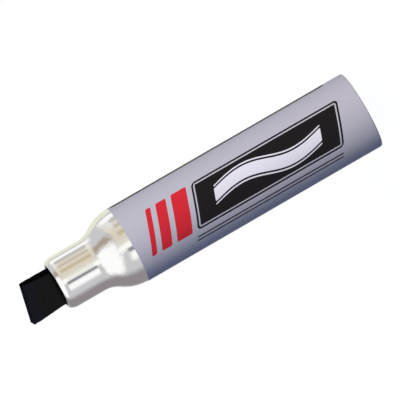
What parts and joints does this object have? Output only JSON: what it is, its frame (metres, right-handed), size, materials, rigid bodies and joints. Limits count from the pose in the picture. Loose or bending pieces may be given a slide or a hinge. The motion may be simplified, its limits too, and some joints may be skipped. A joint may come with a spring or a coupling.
{
  "type": "chisel tip permanent marker",
  "caption": "Jumbo permanent marker: necked aluminium barrel with a printed film sleeve, a wide felt chisel nib, ink wadding inside and a crimped rear closure.",
  "frame": {"origin": "centre of the ring that the marker stands on, at its rear end", "axes": "+Z along the barrel from the rear end to the nib; X along the width of the nib, whose writing edge is higher towards -X; Y through the thickness of the nib, with -Y facing the viewer"},
  "size_m": [0.0304, 0.0304, 0.1433],
  "materials": {
    "barrel_metal": "polished",
    "printed_film": "printed satin film",
    "nib_felt": "pressed felt soaked with ink",
    "holder_plastic": "moulded",
    "wadding": "bonded fibre soaked with ink",
    "wrap_film": "clear film",
    "cup_metal": "drawn",
    "gasket_rubber": "matte"
  },
  "bodies": {
    "marker_body": {"barrel": "barrel_metal", "label_sleeve": "printed_film", "nib_holder": "holder_plastic", "ink_reservoir": "wadding", "reservoir_wrap": "wrap_film", "end_cup": "cup_metal", "end_gasket": "gasket_rubber"},
    "nib": {"nib": "nib_felt"}
  },
  "joints": [
    {"name": "nib_pull", "type": "slide", "parent": "marker_body", "child": "nib", "axis": [0, 0, 1], "range_m": [0, 0.045]}
  ]
}
